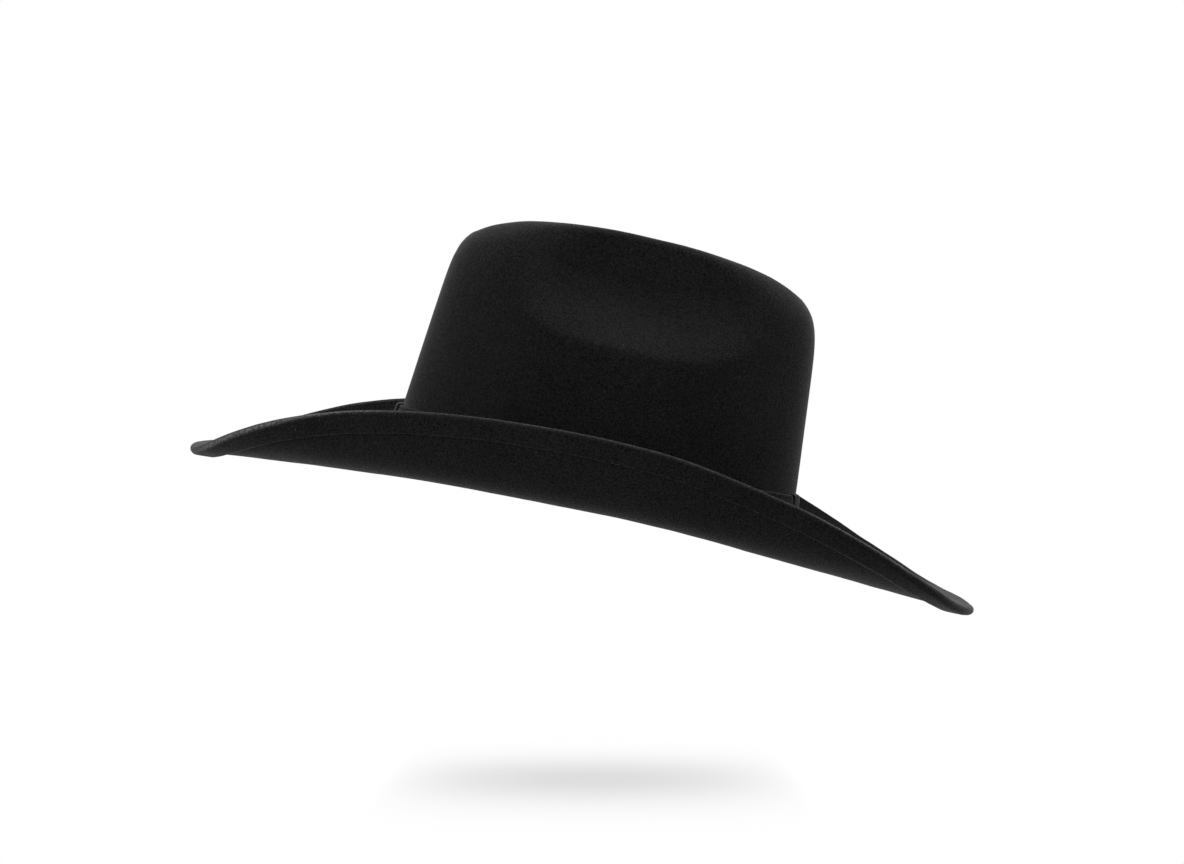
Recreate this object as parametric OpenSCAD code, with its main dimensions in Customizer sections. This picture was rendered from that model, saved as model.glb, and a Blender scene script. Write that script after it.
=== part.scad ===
// Western felt hat: one blocked felt body with a cattleman crease and a rolled brim,
// a felt hat band with two keepers, and the sweatband and lining that sit inside.
// Millimetres. +X is the wearer's front, +Y the wearer's left, +Z up.
// The origin is the centre of the head opening, on the plane of the brim break.

/* [Crown] */
// Half length of the crown's foot, outside, front to back
crown_half_len = 103.5; // [101:0.5:106]
// Half width of the crown's foot, outside, side to side
crown_half_wid = 85.5; // [84:0.5:88]
// Height of the dome above the brim break, before creasing
crown_height = 124.3; // [118:0.1:130]
// Inward lean of the front wall, per mm of height
lean_front = 0.076; // [0.05:0.002:0.09]
// Inward lean of the back wall, per mm of height
lean_back = 0.113; // [0.08:0.001:0.13]
// Inward lean of the side walls, per mm of height
lean_side = 0.115; // [0.08:0.005:0.13]
// Thickness of the felt
felt_thick = 2.5; // [2:0.1:3]

/* [Crease] */
// Depth of the crease along the top
crease_depth = 27; // [15:1:30]
// Half distance between the two ridges beside it
ridge_y = 35; // [30:1:38]
// Half distance between the two side dents, at the neck of the crown
neck_y = 45; // [42:1:50]
// Height of the lowest point of a side dent
dent_z = 66; // [63:0.5:70]
// Height over which a side dent reaches its full depth
dent_shelf = 34; // [28:1:38]

/* [Brim] */
// Brim width at the front
brim_front = 95.3; // [88:0.1:98]
// Brim width at the back
brim_back = 95.5; // [88:0.1:98]
// Brim width at the sides
brim_side = 96.1; // [88:0.1:98]
// Distance from the middle line at which the side roll starts
roll_start = 110.8; // [105:0.2:118]
// Steepest angle of the rolled side
roll_angle = 74; // [40:0.5:78]
// Length over which the side turns up
roll_len = 76.5; // [65:0.5:90]
// Drop of the brim at the front
dip_front = 11.5; // [6:0.5:18]
// Drop of the brim at the back
dip_back = 11.5; // [6:0.5:18]
// Drop of the brim close to the crown, all round
droop = 13.5; // [6:0.5:14]
// Extra sag of the brim between the crown and the rim
brim_sag = 1.0; // [0:0.1:3]
// Thickness of the brim's turned-under edge
welt_thick = 4.6; // [4:0.1:5.2]
// Width of the turned-under edge
welt_width = 7.5; // [7:0.5:11]

/* [Hat band] */
// Height of the band
band_height = 12.5; // [10:0.1:14]
// Thickness of the band
band_thick = 1.3; // [1:0.1:1.5]
// Gap between the band and the crown
band_gap = 0.7; // [0.6:0.05:1]
// Angle of the band's free end from the front, on the wearer's right
band_end = 20; // [15:1:40]

/* [Sweatband and lining] */
// Height of the sweatband
sweat_height = 47; // [40:1:50]
// Thickness of the sweatband's leather
sweat_thick = 1.1; // [0.8:0.1:1.3]
// Height of the lining's upper edge above the brim break
liner_top = 80; // [76:1:82]
// Thickness of the lining
liner_thick = 0.5; // [0.4:0.1:0.6]

/* [Hidden] */

stations = 72;         // round the hat
step = 360 / stations;
thread_color = "#0e0e0f";
tape_color = "#15151a";
keeper_color = "#232223";
lining_color = "#24242c";

// ---- small helpers: angles run counter-clockwise from the front, seen from above ----
function clamp01(v) = min(1, max(0, v));
function smooth(v) = let (k = clamp01(v)) k * k * (3 - 2 * k);
// v where positive, 0 where negative, blended within soft_span of zero
soft_span = 6;
function soft_pos(v) =
    v < -soft_span ? 0 : v > soft_span ? v : pow(v + soft_span, 2) / (4 * soft_span);
function unit(v) = v / norm(v);
function mix(from, to, share) = from * (1 - share) + to * share;
function bezier(from, control, to, k) =
    from * (1 - k) * (1 - k) + control * (2 * k * (1 - k)) + to * (k * k);
function total(list, i = 0) = i >= len(list) ? 0 : list[i] + total(list, i + 1);
function by_end(x, front, back) = x > 0 ? front : back;
// horizontal outward normal of the crown's foot
function plan_normal(angle) = unit([cos(angle) / crown_half_len, sin(angle) / crown_half_wid, 0]);
function ring(place) = [for (j = [0:stations - 1]) place(j * step)];

// ---- brim: a flat ring rolled up at the sides and dipped fore and aft ----
// reach runs from 0 at the crown to 1 at the rim
brim_scale_x = 200;    // x at which the front and back changes below count in full
droop_run = 41.8;      // distance over which the droop settles
roll_steps = 12;       // steps that sum the roll's curve
function roll_slope(run, length) =
    let (k = clamp01(run / length)) roll_angle * (0.5 * smooth(k) + 0.5 * k);
function brim_width(angle) =
    let (c = cos(angle)) brim_side + (by_end(c, brim_front, brim_back) - brim_side) * c * c;
function brim_dip(x) =
    by_end(x, dip_front, dip_back) * pow(abs(x) / brim_scale_x, by_end(x, 1.7, 2.22));
// a point of the brim's middle surface; the sag's 6.75 makes its greatest value brim_sag
function brim(angle, reach) =
    let (normal = plan_normal(angle),
         run = reach * brim_width(angle),
         x = crown_half_len * cos(angle) + run * normal[0],
         y = crown_half_wid * sin(angle) + run * normal[1],
         end_share = pow(x / brim_scale_x, 2),
         flat_y = roll_start * (1 - by_end(x, 0.69, 0.7) * end_share),
         length = roll_len * (1 + by_end(x, 0.96, 0.18) * end_share),
         rolled = max(abs(y) - flat_y, 0),
         slopes = [for (i = [0:roll_steps - 1]) roll_slope(rolled * (i + 0.5) / roll_steps, length)],
         half_y = min(abs(y), flat_y) + rolled * total([for (a = slopes) cos(a)]) / roll_steps,
         rise = rolled * total([for (a = slopes) sin(a)]) / roll_steps,
         sag = brim_sag * 6.75 * reach * reach * (1 - reach))
    [x, y < 0 ? -half_y : half_y, rise - brim_dip(x) - droop * (1 - exp(-run / droop_run)) - sag];
function brim_outward(angle, reach) = unit(brim(angle, reach + 0.004) - brim(angle, reach - 0.004));
function brim_normal(angle, reach) =
    unit(cross(brim_outward(angle, reach), brim(angle + 0.4, reach) - brim(angle - 0.4, reach)));
// a point offset above (or below) the brim's middle surface
function brim_face(angle, reach, offset) = brim(angle, reach) + brim_normal(angle, reach) * offset;

// ---- crown: a leaning oval wall with a domed top, then the dents and crease ----
// a row is [WALL, height] on the lower wall or [DOME, angle of rise] up to the top
WALL = 0;
DOME = 1;
plan_power = 1.89;     // fullness of the dome in plan
ridge_rise = 2.1;      // height of the ridges beside the crease
crease_foot = 100;     // height at which the crease begins to show
foot_blend = 20;       // height over which the wall leaves the brim's curve
dent_x = 10;           // x of the middle of a side dent
function dome_power(angle) = 14.8 - 1.3 * cos(angle);
// height of a row as a share of crown_height
function row_height(angle, row) =
    row[0] == WALL ? row[1] / crown_height : pow(sin(row[1]), 2 / dome_power(angle));
// size of a row in plan as a share of the leaning oval
function row_spread(angle, row) =
    row[0] == WALL ? pow(1 - pow(row[1] / crown_height, dome_power(angle)), 1 / plan_power)
                   : pow(cos(row[1]), 2 / plan_power);
// distance along a side dent from its middle, as a share of its half length
function dent_share(x) = abs(x - dent_x) / by_end(x - dent_x, 70, 72);
function dent_low(x) =
    dent_z + by_end(x - dent_x, 26, 18) * pow(dent_share(x), by_end(x - dent_x, 2.8, 3.8));
function dent_strength(x) =
    1 - by_end(x - dent_x, 0.85, 1) * smooth((dent_share(x) - by_end(x - dent_x, 0.3, 0.4)) / 0.85);
// inward push of a side dent at a point whose undented half width is half_y
function dent_push(x, z, half_y) =
    let (k = clamp01((z - dent_low(x)) / dent_shelf))
    dent_strength(x) * (1 - pow(1 - pow(k, 1.35), 2))
    * soft_pos(half_y - neck_y + 0.18 * max(0, z - 95));
function ridge_at(x) = ridge_y * sqrt(max(0.02, 1 - pow(x / 92, 2)));
// height added by the ridges and taken away by the crease between them
function crease_z(x, half_y) =
    let (ridge = ridge_at(x),
         crease_y = ridge * 1.04,
         hollow = half_y < crease_y ? pow(cos(90 * half_y / crease_y), 2) : 0)
    ridge_rise * max(0, 1 - pow(abs(x) / 90, 4)) * exp(-pow((half_y - ridge) / 12, 2))
    - crease_depth * max(0, 1 - pow(abs(x) / 84, 3)) * hollow;
// a point of the crown's outer face
function crown(angle, row) =
    let (height = row_height(angle, row) * crown_height,
         spread = row_spread(angle, row),
         lean_end = by_end(cos(angle), lean_front, lean_back),
         x = spread * cos(angle) * (crown_half_len - lean_end * height),
         half_y = abs(spread * sin(angle) * (crown_half_wid - lean_side * height)),
         dented_y = half_y - dent_push(x, height, half_y),
         z = height + crease_z(x, half_y) * smooth((height - crease_foot) / 16)
             + brim(angle, 0)[2] * (1 - clamp01(height / foot_blend)))
    [x, sin(angle) < 0 ? -dented_y : dented_y, z];
function row_near(row, shift) =
    row[0] == WALL ? [WALL, row[1] + shift] : [DOME, min(89.7, row[1] + shift * 1.4)];
function crown_normal(angle, row) =
    unit(cross(crown(angle + 0.5, row) - crown(angle - 0.5, row),
               crown(angle, row_near(row, 0.5)) - crown(angle, row_near(row, -0.5))));
function crown_in(angle, row, depth) = crown(angle, row) - crown_normal(angle, row) * depth;
// a point at a height on the lower wall, moved horizontally inward by depth
function wall(angle, height, depth) = crown(angle, [WALL, height]) - plan_normal(angle) * depth;

// ---- meshes from rows of points ----
function flatten(rows) = [for (row = rows) each row];
function reversed(list) = [for (i = [len(list) - 1:-1:0]) list[i]];
// triangles between successive rows of `size` points; closed joins the last row to the first
function row_faces(rows, size, closed = false, first = 0) =
    [for (i = [0:rows - (closed ? 1 : 2)]) for (j = [0:size - 1])
        let (here = first + i * size,
             above = first + ((i + 1) % rows) * size,
             next = (j + 1) % size)
        each [[here + j, above + next, here + next], [here + j, above + j, above + next]]];
// closed in both directions
module ring_solid(rows) {
    polyhedron(flatten(rows), row_faces(len(rows), len(rows[0]), closed = true), convexity = 8);
}
// rows from one pole to another pole
module skin_solid(first_pole, rows, last_pole) {
    count = len(rows);
    size = len(rows[0]);
    pole = count * size;
    polyhedron(concat(flatten(rows), [first_pole, last_pole]), concat(
        row_faces(count, size),
        [for (j = [0:size - 1]) [pole, j, (j + 1) % size]],
        [for (j = [0:size - 1]) [pole + 1, pole - size + (j + 1) % size, pole - size + j]]),
        convexity = 10);
}
// sections along an open path, with end caps
module strip_solid(sections) {
    count = len(sections);
    size = len(sections[0]);
    polyhedron(flatten(sections), concat(
        row_faces(count, size),
        [[for (j = [0:size - 1]) j]],
        [[for (j = [size - 1:-1:0]) (count - 1) * size + j]]), convexity = 8);
}
// a section of [outward, up] points carried round the hat along path(angle)
module swept_ring(path, section) {
    ring_solid([for (q = section)
        ring(function (angle) path(angle) + plan_normal(angle) * q[0] + [0, 0, q[1]])]);
}
function circle_points(radius, count) =
    [for (k = [0:count - 1]) radius * [cos(k * 360 / count), sin(k * 360 / count)]];
// one thread centred on a point and lying along a direction
module thread(centre, along, length, width) {
    translate(centre)
        rotate([0, acos(along[2] / norm(along)), atan2(along[1], along[0])])
            cylinder(h = length, d = width, center = true, $fn = 16);
}

// ---- felt body ----
outer_rows = concat(
    [for (z = [4, 18, 32, 46, 56, 63, 69, 75, 81, 87, 93, 99]) [WALL, z]],
    [for (a = [18, 26, 35, 45, 54, 62, 69, 75, 80, 84.5, 88]) [DOME, a]]);
inner_rows = concat(
    [for (z = [5, 20, 34, 48, 58, 66, 74, 80, 87, 94, 100]) [WALL, z]],
    [for (a = [22, 31, 41, 51, 60, 68, 75, 81, 86]) [DOME, a]]);
top_reaches = [0.045, 0.1, 0.2, 0.32, 0.44, 0.56, 0.67, 0.77, 0.86, 0.93, 0.975, 1];
half_felt = felt_thick / 2;
rim_offset = half_felt - welt_thick / 2;
// reaches of the underside, with the step of the turned-under edge between the third and fourth
function under_reaches(angle) =
    let (width = brim_width(angle))
    [1, 0.97, 1 - (welt_width - 0.2) / width, 1 - (welt_width + 0.5) / width,
     0.84, 0.74, 0.63, 0.51, 0.39, 0.27, 0.15, 0.05];
function under_face(angle, reach) =
    let (from_rim = (1 - reach) * brim_width(angle))
    brim_face(angle, reach, from_rim > welt_width ? -half_felt : half_felt - welt_thick);

// rows run down the outside, out over the brim, round the rim, back beneath and up the inside
module felt_body() {
    outer_crown = [for (row = reversed(outer_rows)) ring(function (angle) crown(angle, row))];
    outer_fillet = [for (k = [0.33, 0.67]) ring(function (angle)
        bezier(crown(angle, outer_rows[0]), brim_face(angle, 0, half_felt),
               brim_face(angle, top_reaches[0], half_felt), k))];
    brim_top = [for (reach = top_reaches) ring(function (angle) brim_face(angle, reach, half_felt))];
    rim = [for (a = [60, 20, -20, -60]) ring(function (angle)
        brim_face(angle, 1, rim_offset + welt_thick / 2 * sin(a))
        + brim_outward(angle, 1) * (welt_thick / 2 * cos(a)))];
    brim_under = [for (k = [0:len(under_reaches(0)) - 1])
        ring(function (angle) under_face(angle, under_reaches(angle)[k]))];
    inner_fillet = [for (k = [0.33, 0.67]) ring(function (angle)
        bezier(brim_face(angle, 0.05, -half_felt),
               brim_face(angle, 0, -half_felt) - plan_normal(angle) * felt_thick,
               crown_in(angle, inner_rows[0], felt_thick), k))];
    inner_crown = [for (row = inner_rows) ring(function (angle) crown_in(angle, row, felt_thick))];
    top_z = crown_height - crease_depth;
    color("#1b1a1b") skin_solid([0, 0, top_z],
        concat(outer_crown, outer_fillet, brim_top, rim, brim_under, inner_fillet, inner_crown),
        [0, 0, top_z - felt_thick]);
}

// thread in the step of the turned-under edge
module brim_welt_stitching() {
    color(thread_color) for (j = [0:2 * stations - 1])
        let (angle = (j + 0.5) * step / 2,
             reach = 1 - (welt_width + 0.9) / brim_width(angle),
             start = brim_face(angle, reach, -half_felt - 0.36),
             ahead = brim_face(angle + 0.5, reach, -half_felt - 0.36))
        thread(start, ahead - start, length = 3.4, width = 0.6);
}

// ---- hat band: once round the crown, its free end lapped over the start ----
band_foot = 3.4;       // height of the lower edge on the wall
band_tilt = 0.0164;    // fall of the upper edge towards the front, per mm of length
band_lap = 45;         // overlap, degrees
band_from = -band_end - band_lap;
band_to = 360 - band_end;
end_round = 2.2;       // corner size at the free end
end_round_turn = 1.5;  // degrees over which the corners round off
// points on the band's edges and between them, moved outward from the crown
function band_low(angle, out) = wall(angle, band_foot, -out);
function band_high(angle, out) =
    wall(angle, band_foot + band_height - band_tilt * crown_half_len * cos(angle), -out);
function band_point(angle, share, out) = mix(band_low(angle, out), band_high(angle, out), share);
// distance of the band's inner face from the crown, stepping out over the lapped start
function band_out(angle) =
    band_gap + (band_thick + 0.12) * smooth((angle - (band_to - band_lap - 14)) / 12);
function end_trim(left) =
    left < end_round_turn
        ? end_round * (1 - sqrt(max(0, 1 - pow(1 - left / end_round_turn, 2)))) : 0;
module hat_band() {
    angles = concat([for (angle = [band_from:step:band_to - 2.2]) angle],
                    [band_to - end_round_turn, band_to - 0.6, band_to]);
    color("#201f20") strip_solid([for (angle = angles)
        let (inner = band_out(angle),
             outer = inner + band_thick,
             trim = end_trim(band_to - angle) / band_height)
        [band_point(angle, trim, inner), band_point(angle, 1 - trim, inner),
         band_point(angle, 1 - trim, outer), band_point(angle, trim, outer)]]);
}
// a row along each edge, left out at the rear keeper
module band_edge_stitching() {
    color(thread_color) for (share = [0.09, 0.91]) for (angle = [-4.5 : step / 2 : band_to - 3])
        if (abs(angle - 180) > 9.5)
            let (out = band_out(angle) + band_thick + 0.32,
                 start = band_point(angle, share, out),
                 ahead = band_point(angle + 0.5, share, out))
            thread(start, ahead - start, length = 2.8, width = 0.5);
}
// one end of a keeper: points 0 to 5 are its outer section, 6 to 9 its inner section
keeper_end = [[0, 1, 7], [0, 7, 6], [1, 2, 8], [1, 8, 7], [2, 3, 8],
              [3, 4, 9], [3, 9, 8], [4, 5, 9], [5, 0, 6], [5, 6, 9]];
// a flat loop round the band between two angles, standing over its top edge and under its foot
module keeper(from, to, thick, over, under) {
    spans = 4;
    bevel = 0.5;
    edge_gap = 0.12;
    hole_in = band_gap - 0.13;
    hole_out = band_gap + band_thick + 0.15;
    back = 0.17;
    face = hole_out + thick;
    function high(angle, out, rise) = band_high(angle, out) + [0, 0, rise];
    function low(angle, out, drop) = band_low(angle, out) - [0, 0, drop];
    angles = [for (i = [0:spans]) from + i * (to - from) / spans];
    outer = [for (a = angles) each
        [low(a, back + 0.3, under), high(a, back, over),
         high(a, face - bevel, over), high(a, face, over - bevel),
         low(a, face, under - bevel), low(a, face - bevel, under)]];
    inner = [for (a = angles) each
        [low(a, hole_in, edge_gap), high(a, hole_in, edge_gap),
         high(a, hole_out, edge_gap), low(a, hole_out, edge_gap)]];
    function end_faces(i) = [for (f = keeper_end)
        [for (v = f) v < 6 ? i * 6 + v : len(outer) + i * 4 + v - 6]];
    polyhedron(concat(outer, inner), concat(
        row_faces(spans + 1, 6),
        [for (f = row_faces(spans + 1, 4, first = len(outer))) reversed(f)],
        end_faces(0),
        [for (f = end_faces(spans)) reversed(f)]), convexity = 6);
}
module band_front_keeper() {
    color(keeper_color) keeper(from = 341.8, to = 349.4, thick = 0.9, over = 0.6, under = 0.6);
}
module band_rear_keeper() {
    color(keeper_color) keeper(from = 171.5, to = 188.5, thick = 1.2, over = 0.6, under = 0.45);
}

// ---- sweatband: depths are measured inward from the crown's outer face ----
sweat_depth = 4.0;
sweat_inner = sweat_depth + sweat_thick;
reed_depth = 4.6;
tape_depth = sweat_inner + 0.06;
tape_thick = 0.4;
function reed_point(angle) = brim(angle, 0) - plan_normal(angle) * reed_depth + [0, 0, 0.2];
// leather strip, its ends almost meeting at the back
module sweatband() {
    angles = concat([-179.8], [for (angle = [-180 + step:step:180 - step]) angle], [179.8]);
    heights = [2.6, 6, sweat_height];
    color("#3a2a20") strip_solid([for (angle = angles) concat(
        [for (z = heights) wall(angle, z, sweat_inner)],
        [for (z = reversed(heights)) wall(angle, z, sweat_depth)])]);
}
module sweatband_reed() {
    color("#d8d2c4") swept_ring(function (angle) reed_point(angle), circle_points(0.6, 8));
}
// tape folded round the reed, open at the top where its two lips meet the leather
module reed_cover() {
    turns = [120:60:420];
    section = concat([for (a = turns) 1.15 * [cos(a), sin(a)]],
                     reversed([for (a = turns) 0.75 * [cos(a), sin(a)]]));
    color(tape_color) swept_ring(function (angle) reed_point(angle), section);
}
module sweatband_stitching() {
    function seam(angle) = reed_point(angle) - plan_normal(angle) * 1.5;
    color(thread_color) for (j = [0:stations - 1])
        let (angle = (j + 0.5) * step)
        thread(seam(angle), seam(angle + 0.5) - seam(angle), length = 4.2, width = 0.5);
}
module sweatband_seam_tape() {
    inner = tape_depth + tape_thick;
    top = sweat_height - 4;
    color(tape_color) strip_solid([for (angle = [-185, -180, -175])
        [wall(angle, 6, inner), wall(angle, top, inner),
         wall(angle, top, tape_depth), wall(angle, 6, tape_depth)]]);
}
// slanting threads in a column on each side of the seam
module sweatband_seam_stitching() {
    depth = tape_depth + tape_thick + 0.36;
    color("#c9c2b2") for (k = [0:7]) for (side = [-1, 1])
        let (z = 9 + k * 4.2,
             low = wall(180, z, depth) + [0, side * 4.2, 0],
             high = wall(180, z + 2.6, depth) + [0, side * 7.0, 0])
        thread((low + high) / 2 + [0.35, 0, 0], high - low, length = 3.0, width = 0.5);
}
module bow_leaf(length, width, thick) {
    edge = [for (k = [0:15]) let (u = k / 15)
        [u * length, width * (0.16 + 0.84 * sin(150 * u + 15)) / 2]];
    linear_extrude(thick) polygon(concat(edge, [for (p = reversed(edge)) [p[0], -p[1]]]));
}
// flat bow: two leaf loops, two tails and a knot, in front of the seam tape
module sweatband_bow() {
    x = -(crown_half_len - lean_back * 10) + tape_depth + 4.0;
    leaves = [[8, 15, 8], [172, 15, 8], [-68, 9, 4], [-112, 9, 4]]; // turn, length, width
    color(tape_color) translate([x, 0, 9]) rotate([90, 0, 90]) union() {
        for (leaf = leaves) rotate([0, 0, leaf[0]]) bow_leaf(leaf[1], leaf[2], 0.9);
        cylinder(h = 1.8, d = 5, $fn = 32);
    }
}

// ---- lining ----
liner_heights = [12, 30, 44, 53, 60, 66, 73, liner_top];
// depth of the lining's outer face, growing above the sweatband
function liner_depth(z) = 3.0 + 2.6 * smooth((z - 53) / 13);
function liner_point(angle, z, inset) = crown_in(angle, [WALL, z], liner_depth(z) + inset);
function liner_rim(angle) = liner_point(angle, liner_top, liner_thick / 2);
module liner_side() {
    function rows(inset) =
        [for (z = liner_heights) ring(function (angle) liner_point(angle, z, inset))];
    color(lining_color) ring_solid(concat(reversed(rows(liner_thick)), rows(0)));
}
// shallow domed disc closing the top of the side
module liner_tip() {
    centre = [0, 0, liner_top + 3];
    shares = [0.25, 0.5, 0.75, 1];
    function rows(rise) = [for (k = shares) ring(function (angle)
        mix(liner_rim(angle) + [0, 0, 0.35], centre, 1 - k) + [0, 0, rise - 2.6 * (k * k - k)])];
    color(lining_color)
        skin_solid(centre + [0, 0, liner_thick], concat(rows(liner_thick), reversed(rows(0))), centre);
}
module liner_piping() {
    color(tape_color) swept_ring(
        function (angle) liner_rim(angle) - plan_normal(angle) * 2.8 - [0, 0, 1.8],
        circle_points(0.7, 6));
}
// upright row at the back
module liner_seam_stitching() {
    function seam(z) = liner_point(180, z, liner_thick + 0.5);
    color(thread_color) for (z = [50:3:76])
        thread(seam(z), seam(z + 0.5) - seam(z), length = 2, width = 0.4);
}
// blank size tag tucked behind the top edge of the leather, at the wearer's left rear
module size_tag() {
    color("#e6e2d6") strip_solid([for (angle = [146:2:156])
        [wall(angle, 32, 3.9), wall(angle, 52, 3.9), wall(angle, 52, 3.66), wall(angle, 32, 3.66)]]);
}

felt_body();
brim_welt_stitching();
hat_band();
band_edge_stitching();
band_front_keeper();
band_rear_keeper();
sweatband();
sweatband_reed();
reed_cover();
sweatband_stitching();
sweatband_seam_tape();
sweatband_seam_stitching();
sweatband_bow();
liner_side();
liner_tip();
liner_piping();
liner_seam_stitching();
size_tag();
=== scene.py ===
"""A black felt hat with a creased crown, a brim rolled up at the sides, a felt band, a sweatband
and a satin lining. +X is the front, +Y and -Y are the sides, +Z is up; the crown is centred on
the Z axis with its foot near z = 0. Lengths are in mm until make() turns them into metres.
Angles round the hat (theta) start at the front and turn towards +Y.
"""

import math

import bmesh
import bpy
import numpy as np
from mathutils import Matrix, Vector, noise


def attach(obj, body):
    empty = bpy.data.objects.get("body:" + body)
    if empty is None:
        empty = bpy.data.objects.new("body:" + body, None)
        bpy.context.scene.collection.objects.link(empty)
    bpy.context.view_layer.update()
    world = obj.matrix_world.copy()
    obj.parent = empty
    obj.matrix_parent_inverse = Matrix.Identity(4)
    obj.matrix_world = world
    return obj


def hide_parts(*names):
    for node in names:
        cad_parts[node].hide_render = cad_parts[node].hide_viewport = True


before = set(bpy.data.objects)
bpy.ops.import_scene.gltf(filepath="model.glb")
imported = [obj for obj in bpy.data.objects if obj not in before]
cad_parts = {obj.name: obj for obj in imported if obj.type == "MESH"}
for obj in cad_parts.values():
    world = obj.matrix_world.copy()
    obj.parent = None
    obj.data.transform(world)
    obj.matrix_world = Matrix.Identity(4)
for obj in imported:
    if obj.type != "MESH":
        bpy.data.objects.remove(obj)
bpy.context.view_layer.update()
MM = 0.001
UP = np.array([0, 0, 1.0])

# ---------------------------------------------------------------- hat dimensions
# Pairs are (front, back).
FELT_T = 2.5
CROWN_X, CROWN_Y, CROWN_H = 103.5, 85.5, 124.3  # half length, half width, height
LEAN_X, LEAN_Y = (0.076, 0.113), 0.115  # inward lean per mm of height
DOME_POWER = 1.89  # roundness of the shoulder, across
WALL_POWER, WALL_POWER_SWING = 14.8, 1.3  # squareness of the shoulder, less at the front
DOME_START = 99.5  # the dome's rows start above this height
CREASE_DEPTH, RIDGE_Y, RIDGE_H, RIDGE_W = 27.0, 35.0, 2.1, 12  # top crease, ridge each side

DENT_X, DENT_LEN = 10, (70, 72)  # the side dents' middle and reach along x
DENT_Z, DENT_RISE, DENT_RISE_POWER = 66.0, (26, 18), (2.8, 3.8)  # the dents' lower edge
DENT_FADE, DENT_FADE_START = (0.85, 1), (0.3, 0.4)
DENT_SHELF, DENT_Y = 34.0, 45.0  # height over which a dent deepens, half width left between

BRIM_ENDS, BRIM_SIDE = (95.3, 95.5), 96.1  # brim widths
BRIM_REACH = 200  # length on which the curves along x are based
ROLL_Y, ROLL_TAPER = 110.8, (0.69, 0.70)  # where the side roll starts
ROLL_ANGLE, ROLL_LEN, ROLL_GROWTH = 74.0, 76.5, (0.96, 0.18)
DIP, DIP_POWER = 11.5, (1.7, 2.22)  # fall of the brim towards front and back
DROP, DROP_LEN, SAG = 13.5, 41.8, 1.0  # fall away from the crown, fullness of the slope
WELT_T, WELT_W = 4.6, 7.5  # turned-under edge

BAND_H, BAND_T, BAND_GAP, BAND_FOOT, BAND_SLOPE = 12.5, 1.3, 0.7, 3.4, 0.0164
BAND_LAP = 45.0  # degrees of overlap
BAND_OUT = 360 - 20.0  # degrees, the band's outer end
BAND_IN = BAND_OUT - 360 - BAND_LAP
STITCH_ROWS = (0.09, 0.91)  # fractions of the band's height

SWEAT_GAP, SWEAT_T, SWEAT_FOOT, SWEAT_H = 4.0, 1.1, 2.6, 44.4
TAPE_GAP, TAPE_T = 0.06, 0.4  # tape over the sweatband's back seam
SWEAT_FACE = SWEAT_GAP + SWEAT_T + TAPE_GAP
LINER_TOP, SATIN_T = 80.0, 0.35


# ---------------------------------------------------------------- shape functions
def ease(value, start=0, span=1):
    """Smooth step from 0 to 1 over span."""
    k = np.clip((value - start) / span, 0, 1)
    return k * k * (3 - 2 * k)


def unit(v):
    return v / np.linalg.norm(v, axis=-1, keepdims=True)


def pick(x, pair):
    """The pair's first value where x is positive, otherwise its second."""
    return np.where(x > 0, *pair)


def outward(theta):
    """Level normal of the crown's oval plan."""
    theta = np.asarray(theta, float)
    return unit(np.stack([np.cos(theta) / CROWN_X, np.sin(theta) / CROWN_Y, 0 * theta], -1))


def brim_width(theta):
    c = np.cos(theta)
    return BRIM_SIDE + (pick(c, BRIM_ENDS) - BRIM_SIDE) * c * c


def brim(theta, s):
    """A point of the brim's middle surface; s is 0 at the crown and 1 at the edge."""
    theta, s = np.broadcast_arrays(np.asarray(theta, float), np.asarray(s, float))
    out = outward(theta)
    reach = s * brim_width(theta)
    x = CROWN_X * np.cos(theta) + reach * out[..., 0]
    y = CROWN_Y * np.sin(theta) + reach * out[..., 1]
    along = np.abs(x / BRIM_REACH)
    roll_start = ROLL_Y * (1 - pick(x, ROLL_TAPER) * along**2)
    roll_len = ROLL_LEN * (1 + pick(x, ROLL_GROWTH) * along**2)
    past = np.maximum(np.abs(y) - roll_start, 0)
    samples = 24
    part = (np.arange(samples) + 0.5) / samples
    turn = past[..., None] * part / roll_len[..., None]
    slope = np.radians(ROLL_ANGLE) * 0.5 * (ease(turn) + np.clip(turn, 0, 1))
    rolled_y = np.minimum(np.abs(y), roll_start) + past * np.cos(slope).mean(-1)
    z = past * np.sin(slope).mean(-1) - DIP * along ** pick(x, DIP_POWER)
    z = z - DROP * (1 - np.exp(-reach / DROP_LEN))
    z = z - SAG * 27 / 4 * s * s * (1 - s)  # 27/4 makes the greatest sag equal SAG
    return np.stack([x, np.sign(y) * rolled_y, z], -1)


def brim_along(theta, s):
    """Unit direction from the crown towards the edge."""
    s = np.asarray(s)
    return unit(brim(theta, s + 0.004) - brim(theta, s - 0.004))


def brim_normal(theta, s):
    theta = np.asarray(theta)
    around = brim(theta + 0.007, s) - brim(theta - 0.007, s)
    return unit(np.cross(brim_along(theta, s), around))


def brim_off(theta, s, distance):
    return brim(theta, s) + brim_normal(theta, s) * np.asarray(distance)[..., None]


def soft_positive(v, soft=6):
    """max(v, 0) with a rounded corner."""
    return np.where(v > soft, v, np.where(v < -soft, 0, (v + soft) ** 2 / (4 * soft)))


def dent_push(x, z, side_y):
    """How far the side dents move the crown towards its middle."""
    from_middle = x - DENT_X
    d = np.abs(from_middle) / pick(from_middle, DENT_LEN)
    low = DENT_Z + pick(from_middle, DENT_RISE) * d ** pick(from_middle, DENT_RISE_POWER)
    fade = ease(d, pick(from_middle, DENT_FADE_START), 0.85)
    amount = 1 - pick(from_middle, DENT_FADE) * fade
    k = np.clip((z - low) / DENT_SHELF, 0, 1)
    narrowing = 0.18 * np.maximum(0, z - 95)
    return amount * (1 - (1 - k**1.35) ** 2) * soft_positive(side_y - DENT_Y + narrowing)


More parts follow.
